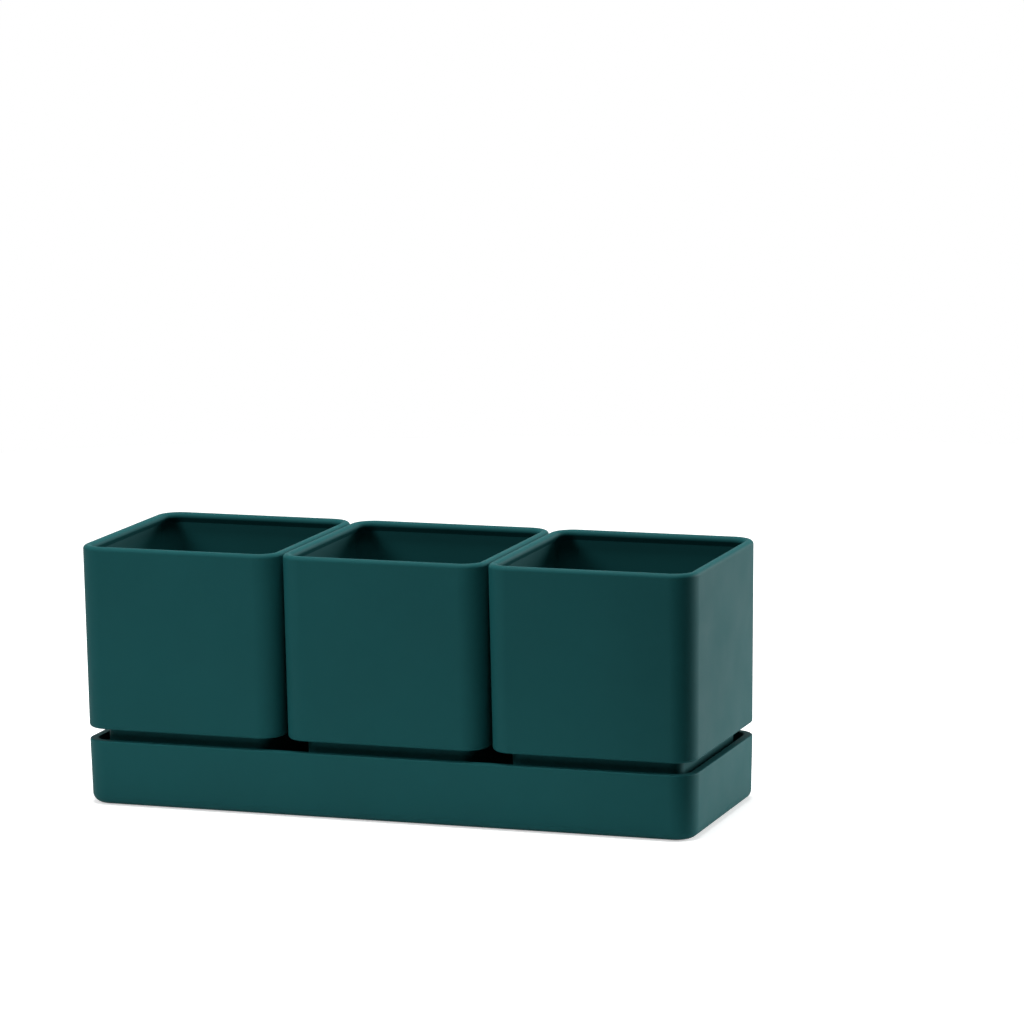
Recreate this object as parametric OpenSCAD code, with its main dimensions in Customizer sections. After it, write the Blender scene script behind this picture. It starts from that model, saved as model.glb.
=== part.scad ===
// Indoor herb planter: three square pots standing in a row in one shared water tray.
// Each pot is a tapered box with rounded corners and a thick rolled rim. Under its shoulder a
// narrower plinth reaches down into the tray, so the pot seems to float just above the tray's edge.
// X runs along the row, Y from front to back, Z up. The origin is the centre of the tray's base.

/* [Pots] */
// Width of one pot over its rim
pot_w = 130; // [110:1:160]
// Depth of one pot over its rim, front to back
pot_d = 140; // [120:1:170]
// Height of the visible body, from the shoulder to the top of the rim
body_h = 113; // [90:0.5:150]
// Space between the rims of two neighbours
pot_gap = 0.8; // [0.6:0.1:3]
// Radius of the upright corners, at the rim
pot_corner = 15; // [11:0.5:20]
// Thickness of the pot's walls and shoulder
pot_wall = 3; // [2:0.1:4]
// How far each wall leans in between the rim and the shoulder
pot_draft = 1.2; // [0.6:0.1:3]
// Rounding of the lower edge of the body
shoulder_round = 2.2; // [1:0.1:2.8]

/* [Rim] */
// Thickness of the rolled rim
rim_t = 5.6; // [5:0.1:7]
// Rounding of the rim's two top edges
rim_round = 2.6; // [1:0.1:2.5]
// Height of the thick part of the rim, above its sloping underside
rim_h = 3.8; // [3:0.1:8]

/* [Plinth] */
// How far the plinth is set back from the body's lower edge
plinth_inset = 10.5; // [8:0.5:16]
// Radius of the plinth's upright corners, at its top
plinth_corner = 8; // [6:0.5:12]
// How far each plinth wall leans in on its way down
plinth_draft = 0.8; // [0.2:0.1:1.5]
// Rounding of the plinth's lower edge
plinth_round = 2; // [1:0.1:3]
// Thickness of the pot's floor
pot_floor = 3; // [2:0.1:5]

/* [Drainage] */
// Radius of a drain hole
drain_r = 4; // [2:0.25:6]
// Distance between two outer drain holes, along X and along Y
drain_pitch = 52; // [40:1:60]
// Radius of the shallow dish round each drain hole, in the pot's floor
drain_dish_r = 7; // [6.5:0.25:9]
// Depth of that dish
drain_dish_h = 0.8; // [0.3:0.1:1.2]

/* [Tray] */
// Height of the tray
tray_h = 40; // [30:0.5:55]
// Thickness of the tray's wall at its top
tray_wall = 5.5; // [4:0.1:7]
// Thickness of the tray's floor
tray_floor = 3; // [2.5:0.1:5]
// How far the tray's top edge stands out past the pots' lower edges
tray_margin = 0.2; // [0:0.1:3]
// Height of the open line between the tray's edge and the pots' shoulders
reveal = 7; // [4:0.5:12]
// Radius of the tray's upright corners, at the top
tray_corner = 15; // [12:0.5:20]
// How far the tray's walls lean in on their way down
tray_draft = 0.9; // [0.4:0.1:3]
// Rounding of the tray's lower edge
tray_base_round = 6; // [2:0.5:8]
// Rounding of the two edges of the tray's rim
tray_edge_round = 0.9; // [0.3:0.1:1.2]
// Rounding where the tray's inner walls meet its floor
tray_inner_round = 3; // [1:0.5:3.5]

/* [Tray floor] */
// Height of the ribs that the pots stand on
rest_rib_h = 4; // [2:0.5:8]
// Thickness of those ribs
rest_rib_t = 2.6; // [1.5:0.1:4]
// How much shorter a rib is than the flat of the plinth that stands on it
rest_rib_short = 4; // [0:0.5:20]
// Distance between the two ribs under one pot
rest_rib_pitch = 76; // [66:1:84]
// Depth of the recess under the tray
base_recess = 1.2; // [0.5:0.1:2]
// Width of the band that the tray stands on, round that recess
base_band = 8; // [5:0.5:14]
// Radius of the recess's corners
base_corner = 6; // [2:0.5:12]

/* [Hidden] */

plastic = "#1f4a4a";

// Points in one quarter of a corner, and in one quarter of a rounded edge
corner_steps = 8;
edge_steps = 5;

// How deep a rib is sunk into the floor that it grows from, and how far a cut runs past a face
sink = 0.5;
over = 1;

pitch = pot_w + pot_gap;
seat_z = tray_floor + rest_rib_h;
shoulder_z = tray_h + reveal;
rim_z = shoulder_z + body_h;

// Inset of the plinth's wall from the rim's outline, at its top and at its foot
plinth_top_in = pot_draft + plinth_inset;
plinth_foot_in = plinth_top_in + plinth_draft;

// The rim's rounding never takes more than half its thickness
rim_r = min(rim_round, rim_t / 2 - 0.05);

tray_w = 3 * pot_w + 2 * pot_gap - 2 * pot_draft + 2 * tray_margin;
tray_d = pot_d - 2 * pot_draft + 2 * tray_margin;

// A quarter turn of a rounded edge as [inset, height] pairs, from angle a0 to a1
function edge(centre_in, centre_z, r, a0, a1) =
    [for (i = [0:edge_steps])
        let (a = a0 + (a1 - a0) * i / edge_steps)
        [centre_in - r * cos(a), centre_z + r * sin(a)]];

// Outline of a rounded rectangle at height z, counter-clockwise seen from above
function ring(w, d, r, z) =
    [for (q = [0:3], i = [0:corner_steps])
        let (a = q * 90 + 90 * i / corner_steps,
             sx = (q == 0 || q == 3) ? 1 : -1,
             sy = (q < 2) ? 1 : -1)
        [sx * (w / 2 - r) + r * cos(a), sy * (d / 2 - r) + r * sin(a), z]];

// Solid shell from a list of rings: each is joined to the next, and the two ends are closed
module shell(rings) {
    n = len(rings[0]);
    m = len(rings);
    points = [for (k = rings) each k];
    sides = [for (k = [0:m - 2], i = [0:n - 1])
        let (j = (i + 1) % n, a = k * n + i, b = k * n + j, c = b + n, d = a + n)
        each [[a, c, b], [a, d, c]]];
    first = [for (i = [0:n - 1]) i];
    last = [for (i = [n - 1:-1:0]) (m - 1) * n + i];
    polyhedron(points, concat([first], sides, [last]), convexity = 6);
}

// Rounded rectangle as a solid plate, with its true arcs
module plate(w, d, r, h) {
    linear_extrude(height = h)
        union() {
            square([w - 2 * r, d], center = true);
            square([w, d - 2 * r], center = true);
            for (sx = [-1, 1], sy = [-1, 1])
                translate([sx * (w / 2 - r), sy * (d / 2 - r)])
                    circle(r = r, $fn = 48);
        }
}

// Ring of a pot's body: its corners stay concentric as the walls lean
function body_ring(p) =
    ring(pot_w - 2 * p[0], pot_d - 2 * p[0], pot_corner - p[0], p[1]);

// Ring of a pot's plinth, whose corners have a radius of their own
function plinth_ring(p) =
    ring(pot_w - 2 * p[0], pot_d - 2 * p[0], plinth_corner + plinth_top_in - p[0], p[1]);

// Outside of the plinth, from the pot's foot up to the shoulder
function plinth_outside() = [
    each edge(plinth_foot_in + plinth_round, seat_z + plinth_round, plinth_round, -90, 0),
    [plinth_top_in, shoulder_z]];

// Outside of the body, from the shoulder up to the top of the rim
function body_outside() = [
    each edge(pot_draft + shoulder_round, shoulder_z + shoulder_round, shoulder_round, -90, 0),
    each edge(rim_r, rim_z - rim_r, rim_r, 0, 90)];

// Inside of the body, from the top of the rim down to the ledge over the shoulder
function body_inside() = [
    each edge(rim_t - rim_r, rim_z - rim_r, rim_r, 90, 180),
    [rim_t, rim_z - rim_h],
    [pot_wall, rim_z - rim_h - (rim_t - pot_wall)],
    [pot_wall + pot_draft, shoulder_z + pot_wall]];

// Inside of the plinth, from that ledge down to the pot's floor
function plinth_inside() = [
    [plinth_top_in + pot_wall, shoulder_z + pot_wall],
    each edge(plinth_foot_in + pot_wall + plinth_round, seat_z + pot_floor + plinth_round,
              plinth_round, 0, -90)];

// Places of the drain holes on a pot's floor
module at_drains() {
    children();
    for (sx = [-1, 1], sy = [-1, 1])
        translate([sx * drain_pitch / 2, sy * drain_pitch / 2, 0])
            children();
}

// One pot, centred on its own upright axis
module pot() {
    color(plastic)
        difference() {
            shell([
                for (p = plinth_outside()) plinth_ring(p),
                for (p = body_outside()) body_ring(p),
                for (p = body_inside()) body_ring(p),
                for (p = plinth_inside()) plinth_ring(p)]);
            at_drains() {
                translate([0, 0, seat_z - over])
                    cylinder(r = drain_r, h = pot_floor + 2 * over, $fn = 48);
                translate([0, 0, seat_z + pot_floor - drain_dish_h])
                    cylinder(r = drain_dish_r, h = drain_dish_h + over, $fn = 48);
            }
        }
}

function tray_ring(p) =
    ring(tray_w - 2 * p[0], tray_d - 2 * p[0], tray_corner - p[0], p[1]);

// Section of the tray's shell as [inset, height] pairs, from its base over the rim to its floor
function tray_section() = [
    each edge(tray_draft + tray_base_round, tray_base_round, tray_base_round, -90, 0),
    each edge(tray_edge_round, tray_h - tray_edge_round, tray_edge_round, 0, 90),
    each edge(tray_wall - tray_edge_round, tray_h - tray_edge_round, tray_edge_round, 90, 180),
    each edge(tray_wall + tray_draft + tray_inner_round, tray_floor + tray_inner_round,
              tray_inner_round, 0, -90)];

// Two ribs that one pot stands on
module rest_ribs() {
    rib_len = pot_d - 2 * plinth_foot_in - 2 * plinth_round - rest_rib_short;
    for (s = [-1, 1])
        translate([s * rest_rib_pitch / 2 - rest_rib_t / 2, -rib_len / 2, tray_floor - sink])
            cube([rest_rib_t, rib_len, rest_rib_h + sink]);
}

module tray() {
    recess_in = tray_draft + tray_base_round + base_band;
    color(plastic)
        difference() {
            union() {
                shell([for (p = tray_section()) tray_ring(p)]);
                for (i = [-1:1])
                    translate([i * pitch, 0, 0])
                        rest_ribs();
            }
            translate([0, 0, -over])
                plate(tray_w - 2 * recess_in, tray_d - 2 * recess_in, base_corner,
                      base_recess + over);
        }
}

module pot_left() {
    translate([-pitch, 0, 0]) pot();
}

module pot_middle() {
    pot();
}

module pot_right() {
    translate([pitch, 0, 0]) pot();
}

tray();
pot_left();
pot_middle();
pot_right();
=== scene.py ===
"""Looks of the indoor herb planter: three square pots standing in one shared water tray.

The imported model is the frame. Each of its nodes is shown by a finer mesh of the same moulding,
with the same section at a higher resolution, and takes its size and place from the node's box.
All lengths are in metres.
"""

import math

import bmesh
import bpy
from mathutils import Matrix, Vector

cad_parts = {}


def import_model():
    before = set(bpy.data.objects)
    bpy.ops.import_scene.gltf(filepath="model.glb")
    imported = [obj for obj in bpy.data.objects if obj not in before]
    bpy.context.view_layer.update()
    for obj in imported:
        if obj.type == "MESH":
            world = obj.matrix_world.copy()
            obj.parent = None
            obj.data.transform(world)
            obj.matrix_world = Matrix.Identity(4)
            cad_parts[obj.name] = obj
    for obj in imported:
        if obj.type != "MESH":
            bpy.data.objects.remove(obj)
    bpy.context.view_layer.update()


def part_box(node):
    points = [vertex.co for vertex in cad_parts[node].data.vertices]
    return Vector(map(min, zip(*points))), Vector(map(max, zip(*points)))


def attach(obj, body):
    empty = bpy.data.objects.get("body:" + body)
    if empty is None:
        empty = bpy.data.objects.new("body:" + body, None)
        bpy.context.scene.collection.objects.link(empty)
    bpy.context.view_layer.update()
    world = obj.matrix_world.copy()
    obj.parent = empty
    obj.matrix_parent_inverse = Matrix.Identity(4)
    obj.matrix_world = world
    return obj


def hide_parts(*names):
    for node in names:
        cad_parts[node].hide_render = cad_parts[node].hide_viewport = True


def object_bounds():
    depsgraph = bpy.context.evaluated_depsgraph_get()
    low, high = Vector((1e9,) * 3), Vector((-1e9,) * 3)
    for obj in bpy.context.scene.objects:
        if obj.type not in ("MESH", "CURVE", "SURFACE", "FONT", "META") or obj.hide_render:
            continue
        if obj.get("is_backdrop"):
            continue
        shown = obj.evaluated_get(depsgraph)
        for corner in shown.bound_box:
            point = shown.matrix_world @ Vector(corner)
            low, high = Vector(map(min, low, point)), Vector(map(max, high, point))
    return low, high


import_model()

MM = 0.001
POTS = ("pot_left", "pot_middle", "pot_right")

# Pot: the sizes that its box doesn't give
POT_CORNER = 15 * MM
POT_WALL = 3 * MM
POT_DRAFT = 1.2 * MM
SHOULDER_ROUND = 2.2 * MM
RIM_T = 5.6 * MM
RIM_ROUND = 2.6 * MM
RIM_H = 3.8 * MM
RIM_UNDER_ROUND = 0.9 * MM
PLINTH_INSET = 10.5 * MM
PLINTH_CORNER = 8 * MM
PLINTH_DRAFT = 0.8 * MM
PLINTH_ROUND = 2 * MM
POT_FLOOR = 3 * MM
LEDGE_ROUND = 1.2 * MM
DRAIN_R = 4 * MM
DRAIN_PITCH = 52 * MM
DRAIN_DISH_R = 7 * MM
DRAIN_DISH_H = 0.8 * MM
DRAIN_CHAMFER = 0.4 * MM

# Tray
REVEAL = 7 * MM
TRAY_WALL = 5.5 * MM
TRAY_FLOOR = 3 * MM
TRAY_CORNER = 15 * MM
TRAY_DRAFT = 0.9 * MM
TRAY_BASE_ROUND = 6 * MM
TRAY_EDGE_ROUND = 0.9 * MM
TRAY_INNER_ROUND = 3 * MM
REST_RIB_T = 2.6 * MM
REST_RIB_PITCH = 76 * MM
REST_RIB_SHORT = 4 * MM
RIB_SINK = 0.5 * MM
BASE_RECESS = 1.2 * MM
BASE_BAND = 8 * MM
BASE_PLATE_CORNER = 6 * MM
RIB_ROUND = 0.5 * MM

# How far a cutter runs past the face that it cuts
CUT_OVER = 1 * MM

# Mesh resolution: steps in a quarter of a corner, in a rounded edge, and round a hole
CORNER_STEPS = 18
EDGE_STEPS = 9
TRAY_EDGE_STEPS = 6
LEDGE_STEPS = 5
RIM_UNDER_STEPS = 4
RIB_STEPS = 3
HOLE_STEPS = 64
SHARP_ANGLE = math.radians(32)

# Plastic: colours as sRGB fractions, then shine, spans of tone and gloss, and the grain
POT_TEAL = (0.072, 0.274, 0.281)
# The tray's teal is the pots' plastic painted a little lighter: painted light, standing in for the
# floor's bounce on the tray
TRAY_TEAL_PAINTED_LIGHTER = (0.078, 0.284, 0.291)
SPECULAR = 0.055
TONE_SPAN = (0.965, 1.035)
ROUGHNESS_SPAN = (0.58, 0.66)
GRAIN_STRENGTH = 0.22
GRAIN_DEPTH = 0.02 * MM

# Floor and surroundings: how white they are to the camera, and the little light that they shed
FLOOR_R = 1.5
FLOOR_GAP = 0.2 * MM
FLOOR_STEPS = 96
FLOOR_WHITE = 0.85
FLOOR_GLOW = 0.5
WORLD_SEEN = 1.0
WORLD_LIGHT = 0.03

# Black card on the floor, between two azimuths in degrees and from an inner radius outwards
CARD_FROM = 4
CARD_TO = 86
CARD_STEPS = 8
CARD_INNER_R = 0.02
CARD_BLACK = 0.01
MATT_ROUGHNESS = 0.9

# Height that the lamps are aimed at
LAMP_AIM_Z = 0.08

# Camera, from the perspective of the photograph's edges
CAMERA_POS = (1.03135, -2.79125, 0.66634)
CAMERA_YAW = math.radians(19.169)
CAMERA_PITCH = math.radians(9.330)
CAMERA_ROLL = math.radians(-0.735)
CAMERA_FOCAL_PX = 4968.0
CAMERA_CLIP_END = 60
IMAGE_PX = 1024
SENSOR_MM = 36


def linear(colour):
    """sRGB fractions as the linear colour that a shader takes."""
    channels = [c / 12.92 if c <= 0.04045 else ((c + 0.055) / 1.055) ** 2.4 for c in colour]
    return (*channels, 1)


def arc(centre_in, centre_z, radius, start, end, steps=EDGE_STEPS):
    """Rounded edge of a section as (inset, height) pairs, between two angles in degrees."""
    pairs = []
    for i in range(steps + 1):
        angle = math.radians(start + (end - start) * i / steps)
        pairs.append((centre_in - radius * math.cos(angle), centre_z + radius * math.sin(angle)))
    return pairs


def ring(centre_x, width, depth, radius, z):
    """Rounded rectangle at height z, counter-clockwise seen from above."""
    points = []
    for quarter, (sx, sy) in enumerate(((1, 1), (-1, 1), (-1, -1), (1, -1))):
        for i in range(CORNER_STEPS + 1):
            angle = math.radians(90 * (quarter + i / CORNER_STEPS))
            x = centre_x + sx * (width / 2 - radius) + radius * math.cos(angle)
            y = sy * (depth / 2 - radius) + radius * math.sin(angle)
            points.append((x, y, z))
    return points


def loft(name, rings):
    """Closed mesh through a list of rings, with its two ends filled."""
    mesh = bmesh.new()
    rows = [[mesh.verts.new(point) for point in points] for points in rings]
    count = len(rows[0])
    for low, high in zip(rows, rows[1:]):
        for i in range(count):
            j = (i + 1) % count
            mesh.faces.new((low[i], low[j], high[j], high[i]))
    mesh.faces.new(list(reversed(rows[0])))
    mesh.faces.new(rows[-1])
    return new_object(name, mesh)


def new_object(name, mesh):
    """Object in the scene from a bmesh, which is used up."""
    data = bpy.data.meshes.new(name)
    bmesh.ops.recalc_face_normals(mesh, faces=mesh.faces)
    mesh.to_mesh(data)
    mesh.free()
    piece = bpy.data.objects.new(name, data)
    bpy.context.collection.objects.link(piece)
    return piece


def bake_modifiers(piece):
    """Puts what the modifiers make into the piece's own mesh."""
    depsgraph = bpy.context.evaluated_depsgraph_get()
    data = bpy.data.meshes.new_from_object(piece.evaluated_get(depsgraph))
    piece.modifiers.clear()
    old = piece.data
    piece.data = data
    bpy.data.meshes.remove(old)


def combine(piece, tools, operation):
    """Cuts or joins a list of closed meshes, and removes them."""
    for tool in tools:
        modifier = piece.modifiers.new(operation, "BOOLEAN")
        modifier.operation = operation
        modifier.solver = "EXACT"
        modifier.object = tool
    bake_modifiers(piece)
    for tool in tools:
        data = tool.data
        bpy.data.objects.remove(tool)
        bpy.data.meshes.remove(data)


def shade(piece):
    """Smooth shading that keeps flat faces flat and true edges sharp."""
    piece.data.shade_smooth()
    piece.data.set_sharp_from_angle(angle=SHARP_ANGLE)
    modifier = piece.modifiers.new("normals", "WEIGHTED_NORMAL")
    modifier.keep_sharp = True
    bake_modifiers(piece)


def bar(name, low, high, radius=RIB_ROUND):
    """Box between two corners with rounded edges."""
    mesh = bmesh.new()
    bmesh.ops.create_cube(mesh, size=1)
    size = [high[i] - low[i] for i in range(3)]
    middle = [(high[i] + low[i]) / 2 for i in range(3)]
    bmesh.ops.scale(mesh, vec=size, verts=mesh.verts)
    bmesh.ops.translate(mesh, vec=middle, verts=mesh.verts)
    bmesh.ops.bevel(
        mesh, geom=mesh.edges, offset=radius, segments=RIB_STEPS, profile=0.5, affect="EDGES"
    )
    return new_object(name, mesh)


def drain_cutter(name, x, y, floor_z, top_z):
    """Round cutter of one drain hole with its shallow dish."""
    dish_z = top_z - DRAIN_DISH_H
    section = [
        (DRAIN_R + DRAIN_CHAMFER, floor_z - CUT_OVER),
        (DRAIN_R + DRAIN_CHAMFER, floor_z),
        (DRAIN_R, floor_z + DRAIN_CHAMFER),
        (DRAIN_R, dish_z - DRAIN_CHAMFER),
        (DRAIN_R + DRAIN_CHAMFER, dish_z),
        (DRAIN_DISH_R - DRAIN_CHAMFER, dish_z),
        (DRAIN_DISH_R, dish_z + DRAIN_CHAMFER),
        (DRAIN_DISH_R, top_z + CUT_OVER),
    ]
    mesh = bmesh.new()
    rows = []
    for radius, z in section:
        row = []
        for i in range(HOLE_STEPS):
            angle = 2 * math.pi * i / HOLE_STEPS
            point = (x + radius * math.cos(angle), y + radius * math.sin(angle), z)
            row.append(mesh.verts.new(point))
        rows.append(row)
    for low, high in zip(rows, rows[1:]):
        for i in range(HOLE_STEPS):
            j = (i + 1) % HOLE_STEPS
            mesh.faces.new((low[i], low[j], high[j], high[i]))
    mesh.faces.new(list(reversed(rows[0])))
    mesh.faces.new(rows[-1])
    return new_object(name, mesh)


def pot(node, shoulder_z):
    """One pot: plinth, shoulder, tapered body and rolled rim as one shell, with its drain holes."""
    low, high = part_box(node)
    centre_x = (low[0] + high[0]) / 2
    width = high[0] - low[0]
    depth = high[1] - low[1]
    seat_z = low[2]
    rim_z = high[2]
    plinth_top_in = POT_DRAFT + PLINTH_INSET
    plinth_foot_in = plinth_top_in + PLINTH_DRAFT

    def body_ring(pair):
        inset, z = pair
        return ring(centre_x, width - 2 * inset, depth - 2 * inset, POT_CORNER - inset, z)

    def plinth_ring(pair):
        inset, z = pair
        radius = PLINTH_CORNER + plinth_top_in - inset
        return ring(centre_x, width - 2 * inset, depth - 2 * inset, radius, z)

    ledge_z = shoulder_z + POT_WALL
    floor_z = seat_z + POT_FLOOR
    inner_top_in = plinth_top_in + POT_WALL
    inner_foot_in = plinth_foot_in + POT_WALL
    plinth_outside = [
        *arc(plinth_foot_in + PLINTH_ROUND, seat_z + PLINTH_ROUND, PLINTH_ROUND, -90, 0),
        (plinth_top_in, shoulder_z),
    ]
    body_outside = [
        *arc(POT_DRAFT + SHOULDER_ROUND, shoulder_z + SHOULDER_ROUND, SHOULDER_ROUND, -90, 0),
        *arc(RIM_ROUND, rim_z - RIM_ROUND, RIM_ROUND, 0, 90),
    ]
    body_inside = [
        *arc(RIM_T - RIM_ROUND, rim_z - RIM_ROUND, RIM_ROUND, 90, 180),
        *arc(RIM_T - RIM_UNDER_ROUND, rim_z - RIM_H + RIM_UNDER_ROUND, RIM_UNDER_ROUND,
             180, 225, RIM_UNDER_STEPS),
        (POT_WALL, rim_z - RIM_H - (RIM_T - POT_WALL)),
        *arc(POT_WALL + POT_DRAFT + LEDGE_ROUND, ledge_z + LEDGE_ROUND, LEDGE_ROUND,
             0, -90, LEDGE_STEPS),
    ]
    plinth_inside = [
        (inner_top_in - LEDGE_ROUND, ledge_z),
        *arc(inner_top_in - LEDGE_ROUND, ledge_z - LEDGE_ROUND, LEDGE_ROUND,
             90, 180, LEDGE_STEPS)[1:],
        *arc(inner_foot_in + PLINTH_ROUND, floor_z + PLINTH_ROUND, PLINTH_ROUND, 0, -90),
    ]

    rings = [plinth_ring(pair) for pair in plinth_outside]
    rings += [body_ring(pair) for pair in body_outside + body_inside]
    rings += [plinth_ring(pair) for pair in plinth_inside]
    piece = loft(node + "_moulding", rings)

    half = DRAIN_PITCH / 2
    places = [(0, 0)] + [(sx * half, sy * half) for sx in (-1, 1) for sy in (-1, 1)]
    cutters = [
        drain_cutter(f"{node}_drain_{i}", centre_x + x, y, seat_z, floor_z)
        for i, (x, y) in enumerate(places)
    ]
    combine(piece, cutters, "DIFFERENCE")
    shade(piece)
    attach(piece, node)
    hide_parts(node)
    return piece


def tray():
    """The tray: one shell with the ribs that the pots stand on and a recess underneath."""
    low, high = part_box("tray")
    width = high[0] - low[0]
    depth = high[1] - low[1]
    height = high[2]
    pot_low, pot_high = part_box("pot_middle")
    pot_d = pot_high[1] - pot_low[1]
    seat_z = pot_low[2]
    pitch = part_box("pot_right")[0][0] - pot_low[0]

    edge_z = height - TRAY_EDGE_ROUND
    inner_in = TRAY_WALL + TRAY_DRAFT + TRAY_INNER_ROUND
    section = [
        *arc(TRAY_DRAFT + TRAY_BASE_ROUND, TRAY_BASE_ROUND, TRAY_BASE_ROUND, -90, 0),
        *arc(TRAY_EDGE_ROUND, edge_z, TRAY_EDGE_ROUND, 0, 90, TRAY_EDGE_STEPS),
        *arc(TRAY_WALL - TRAY_EDGE_ROUND, edge_z, TRAY_EDGE_ROUND, 90, 180, TRAY_EDGE_STEPS),
        *arc(inner_in, TRAY_FLOOR + TRAY_INNER_ROUND, TRAY_INNER_ROUND, 0, -90),
    ]
    piece = loft("tray_moulding", [
        ring(0, width - 2 * inset, depth - 2 * inset, TRAY_CORNER - inset, z)
        for inset, z in section
    ])

    plinth_foot_in = POT_DRAFT + PLINTH_INSET + PLINTH_DRAFT
    rib_len = pot_d - 2 * plinth_foot_in - 2 * PLINTH_ROUND - REST_RIB_SHORT
    half_t = REST_RIB_T / 2
    sunk = TRAY_FLOOR - RIB_SINK
    bars = []
    for i in (-1, 0, 1):
        for side in (-1, 1):
            x = i * pitch + side * REST_RIB_PITCH / 2
            bars.append(((x - half_t, -rib_len / 2, sunk), (x + half_t, rib_len / 2, seat_z)))
    combine(piece, [bar(f"tray_bar_{i}", a, b) for i, (a, b) in enumerate(bars)], "UNION")

    recess_in = TRAY_DRAFT + TRAY_BASE_ROUND + BASE_BAND
    recess = ((recess_in, -CUT_OVER), (recess_in, 0), (recess_in + BASE_RECESS / 2, BASE_RECESS))
    rings = [
        ring(0, width - 2 * inset, depth - 2 * inset, BASE_PLATE_CORNER, z)
        for inset, z in recess
    ]
    combine(piece, [loft("tray_recess", rings)], "DIFFERENCE")
    shade(piece)
    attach(piece, "tray")
    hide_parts("tray")
    return piece


def plastic(name, colour):
    """Satin moulded plastic: slightly uneven tone and gloss, and a fine grain."""
    material = bpy.data.materials.new(name)
    material.use_nodes = True
    nodes = material.node_tree.nodes
    links = material.node_tree.links
    shader = nodes["Principled BSDF"]
    shader.inputs["Specular IOR Level"].default_value = SPECULAR
    place = nodes.new("ShaderNodeTexCoord")

    def noise(scale, detail):
        node = nodes.new("ShaderNodeTexNoise")
        node.inputs["Scale"].default_value = scale
        node.inputs["Detail"].default_value = detail
        links.new(place.outputs["Object"], node.inputs["Vector"])
        return node.outputs["Fac"]

    def span(value, low, high):
        node = nodes.new("ShaderNodeMapRange")
        node.inputs["From Min"].default_value = 0.3
        node.inputs["From Max"].default_value = 0.7
        node.inputs["To Min"].default_value = low
        node.inputs["To Max"].default_value = high
        links.new(value, node.inputs["Value"])
        return node.outputs["Result"]

    tone = nodes.new("ShaderNodeHueSaturation")
    tone.inputs["Color"].default_value = linear(colour)
    links.new(span(noise(14, 3), *TONE_SPAN), tone.inputs["Value"])
    links.new(tone.outputs["Color"], shader.inputs["Base Color"])
    links.new(span(noise(30, 3), *ROUGHNESS_SPAN), shader.inputs["Roughness"])

    grain = nodes.new("ShaderNodeBump")
    grain.inputs["Strength"].default_value = GRAIN_STRENGTH
    grain.inputs["Distance"].default_value = GRAIN_DEPTH
    links.new(noise(1900, 2), grain.inputs["Height"])
    links.new(grain.outputs["Normal"], shader.inputs["Normal"])
    return material


def camera():
    """Camera at the photograph's viewpoint."""
    forward = Vector((
        -math.sin(CAMERA_YAW) * math.cos(CAMERA_PITCH),
        math.cos(CAMERA_YAW) * math.cos(CAMERA_PITCH),
        -math.sin(CAMERA_PITCH),
    ))
    right = forward.cross(Vector((0, 0, 1))).normalized()
    up = right.cross(forward)
    turned_right = math.cos(CAMERA_ROLL) * right + math.sin(CAMERA_ROLL) * up
    turned_up = math.cos(CAMERA_ROLL) * up - math.sin(CAMERA_ROLL) * right
    data = bpy.data.cameras.new("camera")
    data.sensor_width = SENSOR_MM
    data.lens = CAMERA_FOCAL_PX / IMAGE_PX * SENSOR_MM
    data.clip_end = CAMERA_CLIP_END
    obj = bpy.data.objects.new("camera", data)
    axes = Matrix((turned_right, turned_up, -forward)).transposed().to_4x4()
    obj.matrix_world = Matrix.Translation(CAMERA_POS) @ axes
    bpy.context.collection.objects.link(obj)
    bpy.context.scene.camera = obj


def softbox(name, azimuth, elevation, distance, size, power):
    """Square area lamp aimed at the planter. Azimuth 0 is in front of it, and 90 to its right."""
    a = math.radians(azimuth)
    e = math.radians(elevation)
    level = math.cos(e)
    towards = Vector((math.sin(a) * level, -math.cos(a) * level, math.sin(e)))
    data = bpy.data.lights.new(name, "AREA")
    data.shape = "SQUARE"
    data.size = size
    data.energy = power
    obj = bpy.data.objects.new(name, data)
    obj.location = towards * distance + Vector((0, 0, LAMP_AIM_Z))
    obj.rotation_euler = towards.to_track_quat("Z", "Y").to_euler()
    obj.visible_camera = False
    bpy.context.collection.objects.link(obj)


def seen_strength(tree, seen, unseen):
    """One strength for camera, glossy and transmission rays, and another for all other light."""
    rays = tree.nodes.new("ShaderNodeLightPath")
    value = rays.outputs["Is Camera Ray"]
    for kind in ("Is Glossy Ray", "Is Transmission Ray"):
        node = tree.nodes.new("ShaderNodeMath")
        node.operation = "MAXIMUM"
        tree.links.new(value, node.inputs[0])
        tree.links.new(rays.outputs[kind], node.inputs[1])
        value = node.outputs[0]
    span = tree.nodes.new("ShaderNodeMapRange")
    span.inputs["To Min"].default_value = unseen
    span.inputs["To Max"].default_value = seen
    tree.links.new(value, span.inputs["Value"])
    return span.outputs["Result"]


def world():
    """White surroundings that shed only a low, even light on the planter."""
    scene_world = bpy.data.worlds.new("studio")
    bpy.context.scene.world = scene_world
    scene_world.use_nodes = True
    tree = scene_world.node_tree
    background = tree.nodes["Background"]
    background.inputs["Color"].default_value = (1, 1, 1, 1)
    strength = seen_strength(tree, WORLD_SEEN, WORLD_LIGHT)
    tree.links.new(strength, background.inputs["Strength"])


def make_matt(shader, grey):
    """Grey paint without any shine."""
    shader.inputs["Base Color"].default_value = (grey, grey, grey, 1)
    shader.inputs["Roughness"].default_value = MATT_ROUGHNESS
    shader.inputs["Specular IOR Level"].default_value = 0


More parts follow.
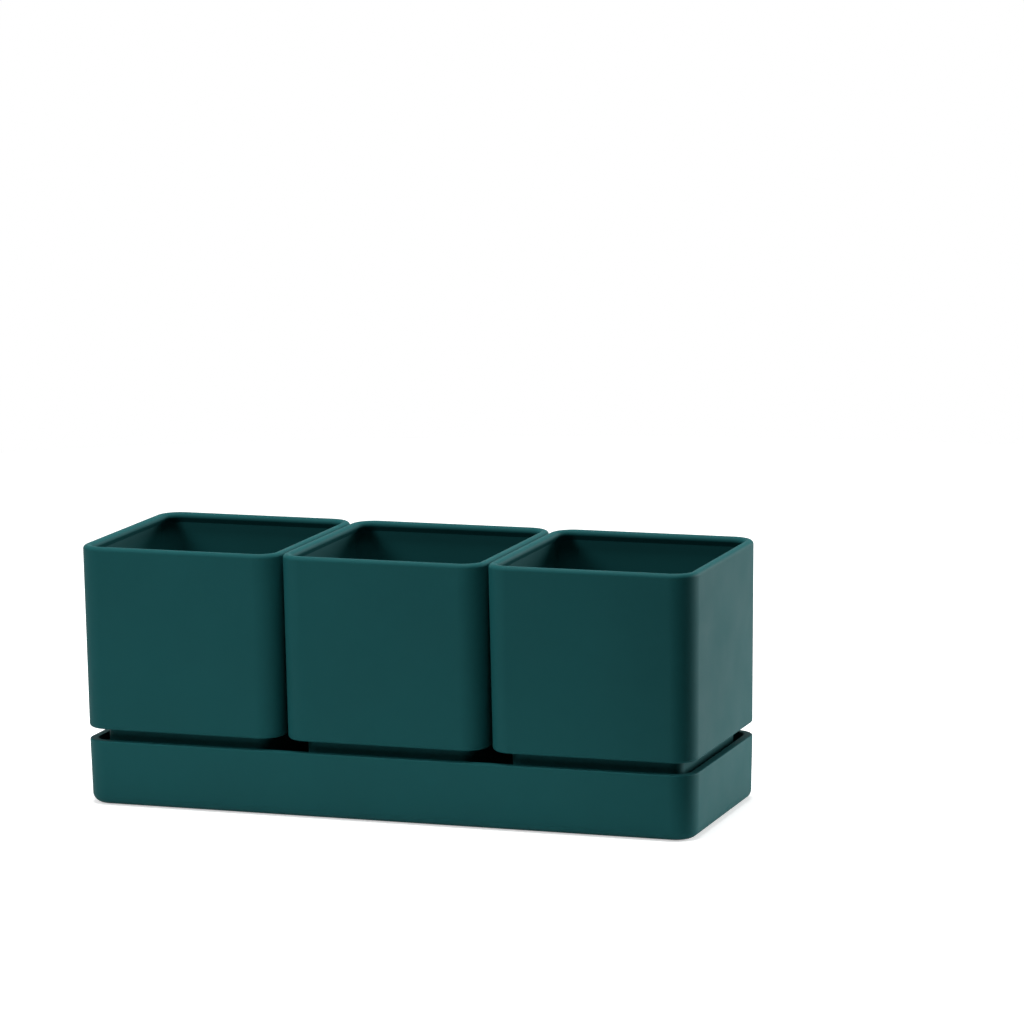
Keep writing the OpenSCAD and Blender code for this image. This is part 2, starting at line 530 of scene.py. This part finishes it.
def floor():
    """Plain white floor, which throws light up onto the planter and keeps its shadow."""
    mesh = bmesh.new()
    bmesh.ops.create_circle(mesh, cap_ends=True, radius=FLOOR_R, segments=FLOOR_STEPS)
    piece = new_object("floor", mesh)
    piece.location.z = -FLOOR_GAP
    material = bpy.data.materials.new("floor_paint")
    material.use_nodes = True
    tree = material.node_tree
    shader = tree.nodes["Principled BSDF"]
    make_matt(shader, FLOOR_WHITE)
    shader.inputs["Emission Color"].default_value = (1, 1, 1, 1)
    tree.links.new(seen_strength(tree, FLOOR_GLOW, 0), shader.inputs["Emission Strength"])
    piece.data.materials.append(material)
    piece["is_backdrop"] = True


def black_card():
    """Black card on the floor at the right front, which keeps the upright corners there dark."""
    low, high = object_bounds()
    corner = Vector((high[0], low[1], -FLOOR_GAP / 2))
    mesh = bmesh.new()
    inner, outer = [], []
    for i in range(CARD_STEPS + 1):
        a = math.radians(CARD_FROM + (CARD_TO - CARD_FROM) * i / CARD_STEPS)
        towards = Vector((math.sin(a), -math.cos(a), 0))
        inner.append(mesh.verts.new(corner + CARD_INNER_R * towards))
        outer.append(mesh.verts.new(corner + FLOOR_R * towards))
    for i in range(CARD_STEPS):
        mesh.faces.new((inner[i], inner[i + 1], outer[i + 1], outer[i]))
    piece = new_object("black_card", mesh)
    material = bpy.data.materials.new("black_card")
    material.use_nodes = True
    make_matt(material.node_tree.nodes["Principled BSDF"], CARD_BLACK)
    piece.data.materials.append(material)
    piece.visible_camera = False
    piece.visible_shadow = False
    piece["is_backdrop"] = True


def main():
    camera()
    shoulder_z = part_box("tray")[1][2] + REVEAL
    pot_plastic = plastic("pot_plastic", POT_TEAL)
    # The tray's material is the pot plastic with a lighter teal, as painted light for the floor's
    # bounce on the tray
    tray_plastic = plastic("tray_plastic", TRAY_TEAL_PAINTED_LIGHTER)
    for node in POTS:
        pot(node, shoulder_z).data.materials.append(pot_plastic)
    tray().data.materials.append(tray_plastic)
    softbox("key_softbox", azimuth=-37, elevation=34, distance=1.9, size=0.6, power=14.5)
    softbox("top_softbox", azimuth=0, elevation=89, distance=1.6, size=0.7, power=37)
    softbox("side_softbox", azimuth=134, elevation=10, distance=3, size=1.2, power=96)
    world()
    floor()
    black_card()
    bpy.context.scene.view_settings.view_transform = "Standard"


main()
